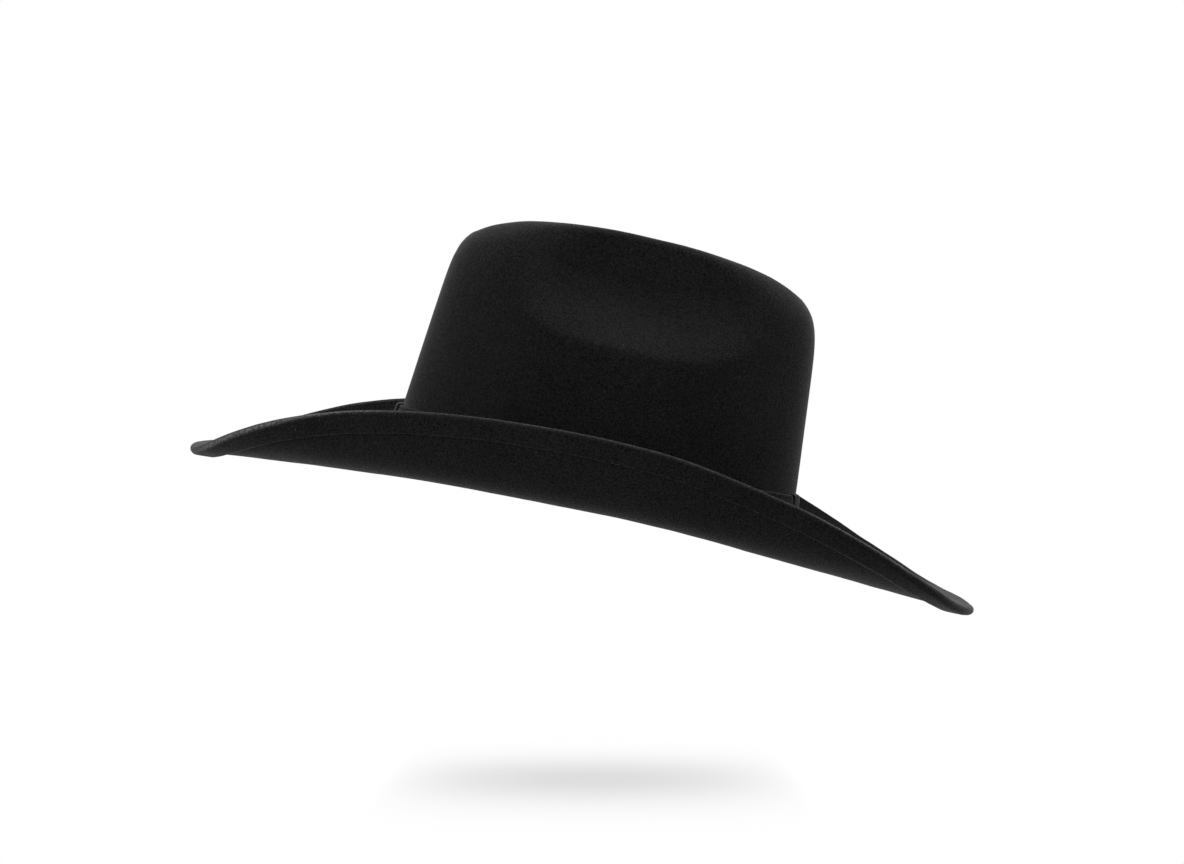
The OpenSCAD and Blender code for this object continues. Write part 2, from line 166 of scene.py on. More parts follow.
def crease_z(x, side_y):
    """Height added at the top: the crease in the middle and a ridge each side of it."""
    ridge_y = RIDGE_Y * np.sqrt(np.maximum(0.02, 1 - (x / 92) ** 2))
    ridge = RIDGE_H * np.maximum(0, 1 - (np.abs(x) / 90) ** 4)
    ridge = ridge * np.exp(-(((side_y - ridge_y) / RIDGE_W) ** 2))
    edge = ridge_y * 1.04
    valley = np.where(side_y < edge, np.cos(np.pi / 2 * side_y / edge) ** 2, 0)
    return ridge - CREASE_DEPTH * np.maximum(0, 1 - (np.abs(x) / 84) ** 3) * valley


def crown(theta, v, dome=False):
    """A point of the crown's outer face; v is a height, or the angle over the dome in degrees."""
    theta, v = np.broadcast_arrays(np.asarray(theta, float), np.asarray(v, float))
    cos, sin = np.cos(theta), np.sin(theta)
    power = WALL_POWER - WALL_POWER_SWING * cos
    if dome:
        rise = np.sin(np.radians(v)) ** (2 / power)
        spread = np.cos(np.radians(v)) ** (2 / DOME_POWER)
    else:
        rise = v / CROWN_H
        spread = (1 - rise**power) ** (1 / DOME_POWER)
    height = rise * CROWN_H
    x = spread * cos * (CROWN_X - pick(cos, LEAN_X) * height)
    side_y = np.abs(spread * sin * (CROWN_Y - LEAN_Y * height))
    foot_z = brim(theta, 0)[..., 2] * (1 - np.clip(height / 20, 0, 1))
    z = height + crease_z(x, side_y) * ease(height, 100, 16) + foot_z
    return np.stack([x, np.sign(sin) * (side_y - dent_push(x, height, side_y)), z], -1)


def crown_normal(theta, v, dome=False):
    theta, v = np.asarray(theta), np.asarray(v, float)
    above = np.minimum(v + 0.3, 89.9) if dome else v + 0.3
    around = crown(theta + 0.004, v, dome) - crown(theta - 0.004, v, dome)
    upward = crown(theta, above, dome) - crown(theta, v - 0.3, dome)
    return unit(np.cross(around, upward))


def crown_in(theta, v, depth, dome=False):
    normal = crown_normal(theta, v, dome)
    return crown(theta, v, dome) - normal * np.asarray(depth)[..., None]


def wall(theta, height, depth):
    """A point level with the outer face of the lower wall, depth inside it (outside if < 0)."""
    return crown(theta, height) - outward(theta) * np.asarray(depth)[..., None]


def band_top(theta):
    return BAND_FOOT + BAND_H - BAND_SLOPE * CROWN_X * np.cos(theta)


# ---------------------------------------------------------------- mesh helpers
def cloth_noise(points, wavelength, seed):
    """Two octaves of smooth noise at each point."""
    values = np.empty(len(points))
    shift = Vector((seed * 17.3, seed * 5.1, seed * 9.7))
    for i, point in enumerate(points):
        v = Vector(point) / wavelength + shift
        amplitude, total = 1.0, 0.0
        for _ in range(2):
            total += amplitude * noise.noise(v)
            v = v * 2.1
            amplitude *= 0.5
        values[i] = total
    return values


def make(name, mesh, material, cad, body="hat"):
    """Build a smooth object from mesh = (vertices in mm, faces) in place of the CAD piece."""
    vertices, faces = mesh
    data = bpy.data.meshes.new(name)
    data.from_pydata((np.asarray(vertices, float) * MM).tolist(), [], faces)
    data.validate()
    bm = bmesh.new()
    bm.from_mesh(data)
    bmesh.ops.recalc_face_normals(bm, faces=bm.faces)
    bm.to_mesh(data)
    bm.free()
    data.update()
    data.polygons.foreach_set("use_smooth", [True] * len(data.polygons))
    ob = bpy.data.objects.new(name, data)
    bpy.context.scene.collection.objects.link(ob)
    data.materials.append(material)
    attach(ob, body)
    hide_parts(cad)
    return ob


def store_highlight_and_wear(ob, values):
    """Store a lightening of the felt's colour, which the felt material reads: painted highlight
    on the brim's fold, worn tone on the rear keeper.
    """
    ob.data.attributes.new("edge", "FLOAT", "POINT").data.foreach_set("value", values)


def grid_faces(rows, columns, closed=False):
    """Quads between rows of points that are closed rings; closed also joins last row to first."""
    r = np.arange(rows if closed else rows - 1)
    a, b = np.meshgrid(r, np.arange(columns), indexing="ij")
    a2, b2 = (a + 1) % rows, (b + 1) % columns
    corners = [a * columns + b, a2 * columns + b, a2 * columns + b2, a * columns + b2]
    return np.stack(corners, -1).reshape(-1, 4).tolist()


def ring_grid(rows):
    """rows (R, M, 3), closed both ways."""
    return rows.reshape(-1, 3), grid_faces(*rows.shape[:2], closed=True)


def pole_grid(first, rows, last):
    """Rings of points closed by a fan to a single point at each end."""
    R, M = rows.shape[:2]
    j = np.arange(M)
    faces = grid_faces(R, M)
    faces += np.stack([0 * j + R * M, j, (j + 1) % M], -1).tolist()
    end = (R - 1) * M
    faces += np.stack([0 * j + R * M + 1, end + (j + 1) % M, end + j], -1).tolist()
    return np.concatenate([rows.reshape(-1, 3), [first], [last]]), faces


def strip_grid(sections):
    """sections (S, K, 3): a closed section carried along an open path, with end caps."""
    S, K = sections.shape[:2]
    faces = grid_faces(S, K)
    faces.append(list(range(K)))
    faces.append([(S - 1) * K + k for k in range(K - 1, -1, -1)])
    return sections.reshape(-1, 3), faces


def rounded(width, height, radius, arc_steps, extra_x=0, extra_y=0):
    """Centred rounded rectangle, counter-clockwise from the bottom right corner.

    extra_x and extra_y are the points added along the level and the upright sides.
    """
    x, y = width / 2 - radius, height / 2 - radius
    points = []

    def fill(end, extra):
        x0, y0 = points[-1]
        for i in range(extra):
            k = (i + 1) / (extra + 1)
            points.append((x0 + (end[0] - x0) * k, y0 + (end[1] - y0) * k))

    corners = ((x, -y, -90, 0), (x, y, 0, extra_y), (-x, y, 90, extra_x), (-x, -y, 180, extra_y))
    for corner_x, corner_y, start, extra in corners:
        arc = []
        for i in range(arc_steps + 1):
            a = math.radians(start + 90 * i / arc_steps)
            arc.append((corner_x + radius * math.cos(a), corner_y + radius * math.sin(a)))
        if points:
            fill(arc[0], extra)
        points += arc
    fill(points[0], extra_x)
    return np.array(points)


def fractions(profile, width, height):
    """A centred profile's points as fractions of its width and height, 0 to 1."""
    return profile[:, 0] / width + 0.5, profile[:, 1] / height + 0.5


def join(parts):
    vertices, faces, start = [], [], 0
    for part_vertices, part_faces in parts:
        vertices.append(np.asarray(part_vertices, float))
        faces += [[i + start for i in face] for face in part_faces]
        start += len(part_vertices)
    return np.concatenate(vertices), faces


def stitch(centre, along, out, length, radius, sink, steps=6):
    """One thread stitch: rises from the cloth, runs along it and dips back in."""
    along, out = unit(np.asarray(along, float)), unit(np.asarray(out, float))
    t = np.linspace(-1, 1, steps)
    middle = centre + np.outer(t, along) * length / 2
    middle = middle + np.outer(-(np.abs(t) ** 3) * sink * 1.6, out)
    radii = radius * np.sqrt(np.maximum(0.12, 1 - np.abs(t) ** 6))
    a = np.linspace(0, 2 * np.pi, steps, endpoint=False)[None, :, None]
    section = np.cos(a) * out + np.sin(a) * np.cross(along, out)
    return strip_grid(middle[:, None, :] + radii[:, None, None] * section)


def stitch_on(curve, theta, out, lift, length, sink):
    """A stitch along curve(theta), raised by lift."""
    start = curve(theta)
    along = curve(theta + 0.01) - start
    return stitch(start + out * lift, along, out, length, 0.24, sink)


def carry_round(theta, centre, section):
    """Carry a closed section of (angle, radius) points round the hat on centre."""
    out = outward(theta)
    rows = []
    for angle, radius in section:
        radii = (radius + 0 * theta)[:, None]
        rows.append(centre + out * (radii * math.cos(angle)) + UP * (radii * math.sin(angle)))
    return ring_grid(np.stack(rows))


def full_turn(count):
    return np.linspace(0, 2 * np.pi, count, endpoint=False)


# ---------------------------------------------------------------- material helpers
def rgba(colour):
    if isinstance(colour, bpy.types.NodeSocket):
        return colour
    return (colour,) * 3 + (1,) if isinstance(colour, (int, float)) else (*colour, 1)


def set_inputs(tree, node, inputs):
    for key, value in inputs.items():
        if isinstance(value, bpy.types.NodeSocket):
            tree.links.new(value, node.inputs[key])
        else:
            node.inputs[key].default_value = value


def add_node(tree, kind, inputs=None, **settings):
    node = tree.nodes.new("ShaderNode" + kind)
    for key, value in settings.items():
        setattr(node, key, value)
    set_inputs(tree, node, inputs or {})
    return node


def add_math(tree, operation, a, b=0.0, clamp=False):
    node = add_node(tree, "Math", {0: a, 1: b}, operation=operation, use_clamp=clamp)
    return node.outputs[0]


class Surface:
    """A Principled material with textures sized in mm of object coordinates."""

    def __init__(self, name):
        self.material = bpy.data.materials.new(name)
        self.material.use_nodes = True
        self.tree = self.material.node_tree
        self.tree.nodes.clear()
        output = self.add("OutputMaterial")
        self.shader = self.add("BsdfPrincipled")
        self.tree.links.new(self.shader.outputs[0], output.inputs[0])
        coordinates = self.add("TexCoord").outputs["Object"]
        self.mm = self.mapping(scale=(1000, 1000, 1000), source=coordinates)

    def add(self, kind, inputs=None, **settings):
        return add_node(self.tree, kind, inputs, **settings)

    def mapping(self, scale=(1, 1, 1), turn=(0, 0, 0), source=None):
        inputs = {"Scale": scale, "Rotation": turn, "Vector": source or self.mm}
        return self.add("Mapping", inputs).outputs[0]

    def noise(self, size, detail=2.0, rough=0.5, source=None, distortion=0.0):
        inputs = {"Scale": 1.0 / size, "Detail": detail, "Roughness": rough}
        inputs |= {"Distortion": distortion, "Vector": source or self.mm}
        return self.add("TexNoise", inputs).outputs["Fac"]

    def voronoi(self, size, feature="F1"):
        inputs = {"Scale": 1.0 / size, "Vector": self.mm}
        return self.add("TexVoronoi", inputs, feature=feature).outputs["Distance"]

    def wave(self, size, source=None, distortion=0.0, direction="X"):
        inputs = {"Scale": 0.314 / size, "Distortion": distortion, "Vector": source or self.mm}
        return self.add("TexWave", inputs, bands_direction=direction).outputs["Fac"]

    def math(self, operation, a, b=0.0, clamp=False):
        return add_math(self.tree, operation, a, b, clamp)

    def weighted(self, a, a_weight, b, b_weight):
        a_part = self.math("MULTIPLY", a, a_weight)
        return self.math("ADD", a_part, self.math("MULTIPLY", b, b_weight))

    def ramp(self, factor, low, high, span=(0.3, 0.7)):
        """Colour from low to high as factor crosses span."""
        node = self.add("ValToRGB", {0: factor})
        for stop, place, colour in zip(node.color_ramp.elements, span, (low, high)):
            stop.position = place
            stop.color = rgba(colour)
        return node.outputs[0]

    def remap(self, value, source, target):
        inputs = {0: value, 1: source[0], 2: source[1], 3: target[0], 4: target[1]}
        return self.add("MapRange", inputs).outputs[0]

    def mix(self, factor, a, b):
        inputs = {0: factor, 6: rgba(a), 7: rgba(b)}
        return self.add("Mix", inputs, data_type="RGBA").outputs[2]

    def bump(self, height, strength, depth, below=None):
        inputs = {"Strength": strength, "Distance": depth * MM, "Height": height}
        if below is not None:
            inputs["Normal"] = below
        return self.add("Bump", inputs).outputs[0]

    def finish(self, inputs):
        set_inputs(self.tree, self.shader, inputs)
        return self.material


# ---------------------------------------------------------------- materials
def felt_material(name, low, high, lint):
    m = Surface(name)
    grain = m.noise(size=1.3, detail=3, rough=0.6)
    medium = m.noise(size=4.5, detail=3, rough=0.55)
    broad = m.noise(size=38)
    fibre_maps = [
        m.mapping(scale=(1.0, 0.16, 0.5), turn=(0.3, 0.2, 0.7)),
        m.mapping(scale=(0.16, 1.0, 0.6), turn=(0.1, 0.5, -0.5)),
    ]
    strands = [m.noise(size=0.35, rough=0.6, source=s, distortion=0.6) for s in fibre_maps]
    fibres = m.math("MAXIMUM", *strands)
    pebble = m.noise(size=0.72, detail=0.0)
    # short pile: every tuft is a little lighter or darker, in colour, sheen and gloss alike
    pile = m.remap(pebble, (0.25, 0.75), (0.48, 1.52))
    tone = m.math("ADD", m.math("MULTIPLY", grain, 0.4), m.weighted(medium, 0.15, broad, 0.45))
    base = m.ramp(m.remap(tone, (0.4, 0.6), (0, 1)), low, high, span=(0.0, 1.0))
    scaled = m.add("VectorMath", {0: base, "Scale": pile}, operation="SCALE")
    colour = scaled.outputs[0]
    if lint:
        speck = m.math("LESS_THAN", m.voronoi(size=9.0), 0.022)
        colour = m.mix(m.math("MULTIPLY", speck, 0.5), colour, 0.22)
    # painted sheen: the colour turns lighter towards the outline, where the surface is seen
    # edge-on, patchy with the fibres
    facing = m.add("LayerWeight", {"Blend": 0.5}).outputs["Facing"]
    painted_rim_sheen = m.math("POWER", facing, 7.0)
    painted_rim_sheen = m.math("MULTIPLY", painted_rim_sheen, m.remap(strands[0], (0.3, 0.7), (0.3, 1.0)))
    colour = m.mix(painted_rim_sheen, colour, (0.16, 0.16, 0.16 * 1.02))
    # painted highlight along the brim's folded edge, and a lighter worn tone on the rear keeper,
    # from the mesh attribute that felt_body() and keepers() set
    highlight_and_wear = m.add("Attribute", attribute_name="edge").outputs["Fac"]
    dots = m.remap(m.noise(size=1.2, detail=1), (0.32, 0.68), (0.25, 1.25))
    highlight_and_wear = m.math("MULTIPLY", highlight_and_wear, dots, clamp=True)
    colour = m.mix(highlight_and_wear, colour, (0.12, 0.12, 0.122))
    normal = m.bump(m.noise(size=7), strength=0.25, depth=0.5)
    surface = m.weighted(grain, 0.7, fibres, 0.3)
    normal = m.bump(surface, strength=0.5, depth=0.2, below=normal)
    return m.finish({
        "Base Color": colour,
        "Roughness": 0.95,
        "Specular IOR Level": m.math("MULTIPLY", pile, 0.12),
        "Sheen Weight": m.math("MULTIPLY", pile, 0.10),
        "Sheen Roughness": 0.28,
        "Sheen Tint": (0.72, 0.72, 0.74, 1),
        "Normal": m.bump(pebble, strength=1.0, depth=0.3, below=normal),
    })


def thread_material(name, low, high):
    m = Surface(name)
    twist = m.wave(size=0.28, source=m.mapping(turn=(0.6, 0.5, 0.8)), distortion=1.0)
    fleck = m.noise(size=0.2)
    return m.finish({
        "Base Color": m.ramp(m.weighted(twist, 0.6, fleck, 0.4), low, high, span=(0.2, 0.8)),
        "Roughness": 0.85,
        "Specular IOR Level": 0.15,
        "Normal": m.bump(twist, strength=0.5, depth=0.08),
    })


def leather_material():
    m = Surface("sweatband_leather")
    cells = m.voronoi(size=0.9, feature="DISTANCE_TO_EDGE")
    fine = m.noise(size=0.25, detail=3)
    broad = m.noise(size=30, detail=3, rough=0.6)
    low, high = (0.062, 0.037, 0.023), (0.128, 0.077, 0.048)
    fine_part = m.math("MULTIPLY", fine, 0.4)
    height = m.math("ADD", m.remap(cells, (0, 0.25), (0, 1)), fine_part)
    return m.finish({
        "Base Color": m.ramp(m.weighted(broad, 0.7, fine, 0.3), low, high),
        "Roughness": m.remap(broad, (0.3, 0.7), (0.38, 0.55)),
        "Normal": m.bump(height, strength=0.35, depth=0.1),
        "Coat Weight": 0.08,
    })


def ribbon_material(name, high, rib, direction):
    m = Surface(name)
    ribs = m.wave(size=rib, direction=direction)
    fleck = m.noise(size=0.3)
    return m.finish({
        "Base Color": m.ramp(m.weighted(ribs, 0.7, fleck, 0.3), 0.008, high, span=(0.1, 0.9)),
        "Roughness": 0.55,
        "Sheen Weight": 0.15,
        "Normal": m.bump(ribs, strength=0.6, depth=0.12),
    })


def satin_material():
    m = Surface("lining_satin")
    broad = m.noise(size=22)
    slanted = m.wave(size=0.3, source=m.mapping(turn=(0, 0, 0.78)))
    level = m.wave(size=0.3, direction="Z")
    return m.finish({
        "Base Color": m.ramp(broad, (0.020, 0.020, 0.026), (0.034, 0.034, 0.042)),
        "Roughness": 0.34,
        "Anisotropic": 0.6,
        "Sheen Weight": 0.2,
        "Normal": m.bump(m.math("ADD", slanted, level), strength=0.25, depth=0.05),
    })


def reed_material():
    m = Surface("reed_plastic")
    return m.finish({
        "Base Color": m.ramp(m.noise(size=3, detail=3), (0.5, 0.47, 0.4), (0.62, 0.58, 0.5)),
        "Roughness": 0.45,
        "Normal": m.bump(m.noise(size=0.5), strength=0.2, depth=0.05),
    })


def tag_material():
    m = Surface("tag_woven")
    level = m.wave(size=0.35, direction="Z")
    upright = m.wave(size=0.35, source=m.mapping(turn=(0, 0, 0.6)))
    weave = m.math("MULTIPLY", level, upright)
    return m.finish({
        "Base Color": m.ramp(weave, (0.55, 0.52, 0.45), (0.8, 0.77, 0.7), span=(0.0, 1.0)),
        "Roughness": 0.8,
        "Normal": m.bump(weave, strength=0.4, depth=0.06),
    })


FELT = felt_material("felt_black", low=0.0057, high=0.0086, lint=True)
BAND_FELT = felt_material("band_felt_black", low=0.0055, high=0.0095, lint=False)
THREAD = thread_material("thread_black", low=0.0025, high=0.0062)
TAN_THREAD = thread_material("thread_tan", low=(0.22, 0.17, 0.11), high=(0.42, 0.34, 0.24))
LEATHER = leather_material()
TAPE = ribbon_material("tape_ribbed", high=0.02, rib=0.55, direction="Z")
BOW_RIBBON = ribbon_material("bow_ribbon", high=0.022, rib=0.5, direction="Y")
SATIN = satin_material()
REED = reed_material()
TAG = tag_material()


# ---------------------------------------------------------------- felt crown and brim
def dome_angles(count, top=89.6):
    """Angles over the dome at equal arc length, from DOME_START up."""
    a = np.linspace(8.0, top, 3000)
    z = np.sin(np.radians(a)) ** (2 / WALL_POWER) * CROWN_H
    r = np.cos(np.radians(a)) ** (2 / DOME_POWER) * 95
    keep = z > DOME_START
    a, z, r = a[keep], z[keep], r[keep]
    length = np.concatenate([[0], np.cumsum(np.hypot(np.diff(z), np.diff(r)))])
    return np.interp(np.linspace(0, length[-1], count), length, a)


def fillet_rows(start, corner, end):
    """Four rows of a quadratic curve between start and end."""
    parts = (0.2, 0.4, 0.6, 0.8)
    return [start * (1 - t) ** 2 + corner * (2 * t * (1 - t)) + end * t * t for t in parts]


def painted_edge_highlight(x, y, angle):
    """Strength of the painted highlight on the folded edge; angle is degrees round the fold, 90
    on top.
    """
    far = np.abs(x)
    front = ease(x, 60, 30)
    back = 1 - front
    back_lit = (0.20 + 0.80 * ease(far, 80, 45)) * (1 - 0.6 * ease(far, 183, 10))
    front_lit = 0.22 + 0.78 * ease(x, 90, 14) * (1 - ease(x, 146, 12)) + 0.35 * ease(x, 178, 8)
    amount = back_lit * back + front_lit * front
    # the brightest line round the fold, and its width, in degrees
    line = 3 - 36 * ease(far, 118, 40) * back
    line = line + (18 * ease(x, 90, 14) + 42 * ease(x, 150, 20)) * front
    width = 27 + 2 * ease(far, 120, 40) * back - 8 * front
    near = np.exp(-(((angle - line) / width) ** 2)) * amount
    behind = np.exp(-(((angle - 80) / 35) ** 2)) * 0.3 * ease(-x, 70, 30)
    near_side = ease(-y, -10, 20)  # 1 on the -Y side
    return near * near_side + behind * (1 - near_side)


def felt_body():
    """One closed skin: down the crown, out over the brim, round its edge and back inside."""
    density = 1.0
    count = 384
    theta = full_turn(count)
    half = FELT_T / 2

    # outer face of the crown, from the top down
    rows = [crown(theta, a, dome=True) for a in dome_angles(int(64 * density))[::-1]]
    rows += [crown(theta, z) for z in np.linspace(4, 96.2, int(50 * density))[::-1]]
    crown_count = len(rows)

    # upper face of the brim
    brim_start = 0.045
    rows += fillet_rows(
        crown(theta, 4.0), brim_off(theta, 0, half), brim_off(theta, brim_start, half)
    )
    s = 1 - (1 - np.linspace(brim_start, 1, int(46 * density))) ** 1.15
    s = brim_start + (s - s[0]) / (s[-1] - s[0]) * (1 - brim_start)
    rows += [brim_off(theta, k, half) for k in s]

    # the turned-under edge: a soft, full roll
    along, normal, edge = brim_along(theta, 1), brim_normal(theta, 1), brim(theta, 1)
    fold_start = len(rows)
    fold_angles = np.arange(72, -73, -18)
    for a in np.radians(fold_angles):
        rise = half - WELT_T / 2 + WELT_T / 2 * math.sin(a)
        rows.append(edge + normal * rise + along * (WELT_T / 2 * math.cos(a)))
    under = list(np.linspace(0, WELT_W - 1.1, int(7 * density) + 2))
    under += [WELT_W + k for k in (-0.5, -0.1, 0.15, 0.3, 0.7, 1.6)]
    # (distance from the welt's inner edge, depth below the brim's middle surface)
    step_places, step_depths = zip(
        (-1.0, WELT_T - half),
        (-0.45, WELT_T - half - 0.25),
        (0.05, half + 0.9),
        (0.3, half + 0.05),
        (1.6, half),
    )
    for distance in under:
        depth = np.interp(distance, WELT_W + np.array(step_places), step_depths)
        rows.append(brim_off(theta, 1 - distance / brim_width(theta), -depth))

    # underside of the brim
    under_start = 1 - (WELT_W + 1.6) / BRIM_ENDS[1]
    for k in np.linspace(under_start - 0.02, 0.05, int(40 * density)):
        rows.append(brim_off(theta, k, -half))

    # inner face of the crown
    inner_start = len(rows)
    rows += fillet_rows(
        brim_off(theta, 0.05, -half),
        brim_off(theta, 0, -half) - outward(theta) * FELT_T,
        crown_in(theta, 5.0, FELT_T),
    )
    for z in np.linspace(5, 95.5, int(14 * density) + 4):
        rows.append(crown_in(theta, z, FELT_T))
    for a in dome_angles(int(16 * density) + 4, top=87):
        rows.append(crown_in(theta, a, FELT_T, dome=True))

    grid = np.stack(rows)
    apex = CROWN_H - CREASE_DEPTH + RIDGE_H * math.exp(-((RIDGE_Y / RIDGE_W) ** 2))
    vertices, faces = pole_grid([0, 0, apex], grid, [0, 0, apex - FELT_T])

    # broad unevenness of blocked felt, none where the band and sweatband sit
    skin = vertices[: len(rows) * count]
    row = np.repeat(np.arange(len(rows)), count)
    from_axis = np.hypot(skin[:, 0] / CROWN_X, skin[:, 1] / CROWN_Y)
    amount = np.where(row < crown_count, ease(skin[:, 2], 24, 14), ease(from_axis, 1.12, 0.15))
    amount = np.where(row >= inner_start, 0, amount)
    broad = cloth_noise(skin, wavelength=62, seed=1.0)
    fine = cloth_noise(skin, wavelength=17, seed=2.0)
    shift = amount * (0.75 * broad + 0.16 * fine)
    skin[:, 2] += shift * 0.8
    skin[:, 1] += shift * 0.55 * np.sign(skin[:, 1]) * ease(np.abs(skin[:, 1]), 0, 20)
    ob = make("felt_crown_and_brim", (vertices, faces), FELT, "felt_body")

    # painted highlight along the brim's folded edge, read by the felt material
    painted_highlight = np.zeros(len(vertices))
    fold_end = fold_start + len(fold_angles)
    fold = grid[fold_start:fold_end]
    fold_highlight = painted_edge_highlight(fold[..., 0], fold[..., 1], fold_angles[:, None])
    painted_highlight[fold_start * count : fold_end * count] = fold_highlight.ravel()
    store_highlight_and_wear(ob, painted_highlight)


def brim_stitches():
    """A row of stitches under the brim, just inside the welt."""
    parts = []
    count = 344
    for j in range(count):
        theta = 2 * np.pi * (j + 0.5) / count
        s = 1 - (WELT_W + 0.85) / float(brim_width(theta))
        down = -brim_normal(theta, s)
        lift = FELT_T / 2 + 0.02
        parts.append(stitch_on(lambda a: brim(a, s), theta, down, lift, length=2.3, sink=0.3))
    make("underwelt_stitching", join(parts), THREAD, "brim_welt_stitching")


# ---------------------------------------------------------------- hat band and keepers
def band_layer(degrees):
    """Extra distance from the crown where the band lies over its own inner end."""
    return (BAND_T + 0.12) * ease(degrees, BAND_OUT - BAND_LAP - 14, 12)


def hat_band():
    tip = np.array([2.0, 1.6, 1.3, 1.0, 0.75, 0.5, 0.3, 0.12, 0.0])  # degrees before the end
    steps = np.arange(BAND_IN, BAND_OUT - 2.2, 1.0)
    degrees = np.concatenate([steps, BAND_OUT - tip])
    theta = np.radians(degrees)
    u, v = fractions(rounded(BAND_T, BAND_H, 0.5, 4, extra_y=9), BAND_T, BAND_H)
    # the outer end is rounded off
    to_end = BAND_OUT - degrees
    cut = 2.4 * (1 - np.sqrt(np.maximum(0, 1 - (1 - to_end / 1.5) ** 2)))
    cut = np.where(to_end < 1.5, cut, 0)
    low, high = BAND_FOOT + cut, band_top(theta) - cut
    height = low[:, None] + (high - low)[:, None] * v
    # the two rows of stitching pull the felt in a little; the middle stands proud
    puff = 0.16 * np.exp(-(((v - 0.5) / 0.33) ** 4))
    for place in STITCH_ROWS:
        puff = puff - 0.10 * np.exp(-(((v - place) / 0.05) ** 2))
    out = (BAND_GAP + band_layer(degrees))[:, None] + u * BAND_T + np.where(u > 0.5, puff, 0)
    points = wall(theta[:, None], height, -out)
    wobble = 0.06 * np.sin(theta * 9) + 0.05 * np.sin(theta * 23 + 1)
    points[..., 2] += wobble[:, None] * (v > 0.5)
    mesh = strip_grid(points[:, ::-1])
    make("felt_hat_band", mesh, BAND_FELT, "hat_band", body="band")


def band_stitches():
    """Two rows on the band, left out under the rear keeper."""
    parts = []
    for place in STITCH_ROWS:
        for degrees in np.arange(-4.8, BAND_OUT - 2.6, 1.62):
            if abs(degrees - 180) < 9.3:
                continue
            out = BAND_GAP + BAND_T + float(band_layer(degrees)) + 0.02

            def curve(a):
                height = BAND_FOOT + (float(band_top(a)) - BAND_FOOT) * place
                return wall(a, height, -out)

            theta = math.radians(degrees)
            parts.append(stitch_on(curve, theta, outward(theta), 0, length=1.75, sink=0.3))
    mesh = join(parts)
    make("band_top_stitching", mesh, THREAD, "band_edge_stitching", body="band")


def keeper(name, start, end, thickness, over, under, body, cad):
    """A strap wound round the band's section, from start to end degrees round the crown.

    over and under are how far it stands above and below the band.
    """
    back = 0.37
    depth = BAND_GAP + BAND_T + 0.15 + thickness / 2 - back
    path = rounded(depth, 10.0, 0.9, 6, extra_y=10)
    u, v = path[:, 0] / depth + 0.5, path[:, 1] / 10.0
    tangent = unit(np.roll(path, -1, 0) - np.roll(path, 1, 0))
    normal_out, normal_up = tangent[:, 1], -tangent[:, 0]
    half = thickness / 2
    # the strap is thinner over the band's top and foot, so its inner face stays 0.12 off it
    half_top, half_foot = (over - 0.12) / 2, (under - 0.12) / 2
    level_half = np.where(normal_up > 0, half_top, half_foot)
    bow = 0.18 * np.exp(-((v / 0.42) ** 4)) * (u > 0.6)
    stations = np.linspace(start, end, 26)
    rows = []
    for side, side_stations in ((1, stations), (-1, stations[::-1])):
        for degrees in side_stations:
            theta = math.radians(degrees)
            # mm per degree; 0.0175 is radians per degree
            arc = 0.0175 * math.hypot(CROWN_X * math.sin(theta), CROWN_Y * math.cos(theta))
            from_edge = min(1, min(degrees - start, end - degrees) * arc / 0.45)
            edge_half = half * (math.sqrt(max(0.0, 1 - (1 - from_edge) ** 2)) * 0.85 + 0.15)
            # the inner face lies flat; the outer face rolls over at the strap's two edges
            face_half = edge_half if side == 1 else half * 0.97
            thick = np.where(u < 0.25, min(edge_half, 0.22), face_half)
            top = band_top(theta) + over - half_top
            foot = BAND_FOOT - under + half_foot
            height = (top + foot) / 2 + v * (top - foot)
            height = height + normal_up * np.minimum(thick, level_half) * side
            out = back + u * depth + normal_out * thick * side
            rows.append(wall(theta, height, -(out + bow)))
    return make(name, ring_grid(np.stack(rows)), BAND_FELT, cad, body=body)


def keepers():
    keeper(
        "front_keeper_loop", start=341.8, end=349.4, thickness=0.9, over=0.6, under=0.6,
        body="front_keeper", cad="band_front_keeper",
    )
    rear = keeper(
        "rear_keeper_loop", start=171.5, end=188.5, thickness=1.2, over=0.6, under=0.45,
        body="band", cad="band_rear_keeper",
    )
    store_highlight_and_wear(rear, np.full(len(rear.data.vertices), 0.14))  # more worn: brushed all over


# ---------------------------------------------------------------- sweatband
def sweat_relax(theta, fraction):
    """How far the sweatband's upper part stands away from the crown."""
    return 0.35 * (0.5 + 0.5 * np.sin(5 * theta + 1.0)) * ease(fraction, 0.55, 0.45)


def sweatband():
    theta = np.radians(np.linspace(-179.8, 179.8, 480))[:, None]
    u, v = fractions(rounded(SWEAT_T, 44.0, 0.42, 4, extra_y=22), SWEAT_T, 44.0)
    top = SWEAT_FOOT + SWEAT_H + 0.35 * np.sin(3 * theta + 0.4) + 0.25 * np.sin(7 * theta + 2)
    height = SWEAT_FOOT + (top - SWEAT_FOOT) * v
    depth = SWEAT_GAP + u * SWEAT_T + sweat_relax(theta, v)
    mesh = strip_grid(wall(theta, height, depth))
    make("leather_sweatband", mesh, LEATHER, "sweatband")


def reed_line(theta):
    return brim(theta, 0) - outward(theta) * 4.6 + UP * 0.2


def reed():
    theta = full_turn(240)
    section = [(2 * np.pi * k / 10, 0.6) for k in reversed(range(10))]
    mesh = carry_round(theta, reed_line(theta), section)
    make("plastic_reed", mesh, REED, "sweatband_reed")


def reed_cover():
    """Tape round the reed, open above and inside."""
    theta = full_turn(480)
    angles = np.radians(np.linspace(118, 422, 26))
    section = [(a, 1.15) for a in angles] + [(a, 0.78) for a in angles[::-1]]
    mesh = carry_round(theta, reed_line(theta), section)
    make("reed_cover_tape", mesh, TAPE, "reed_cover")


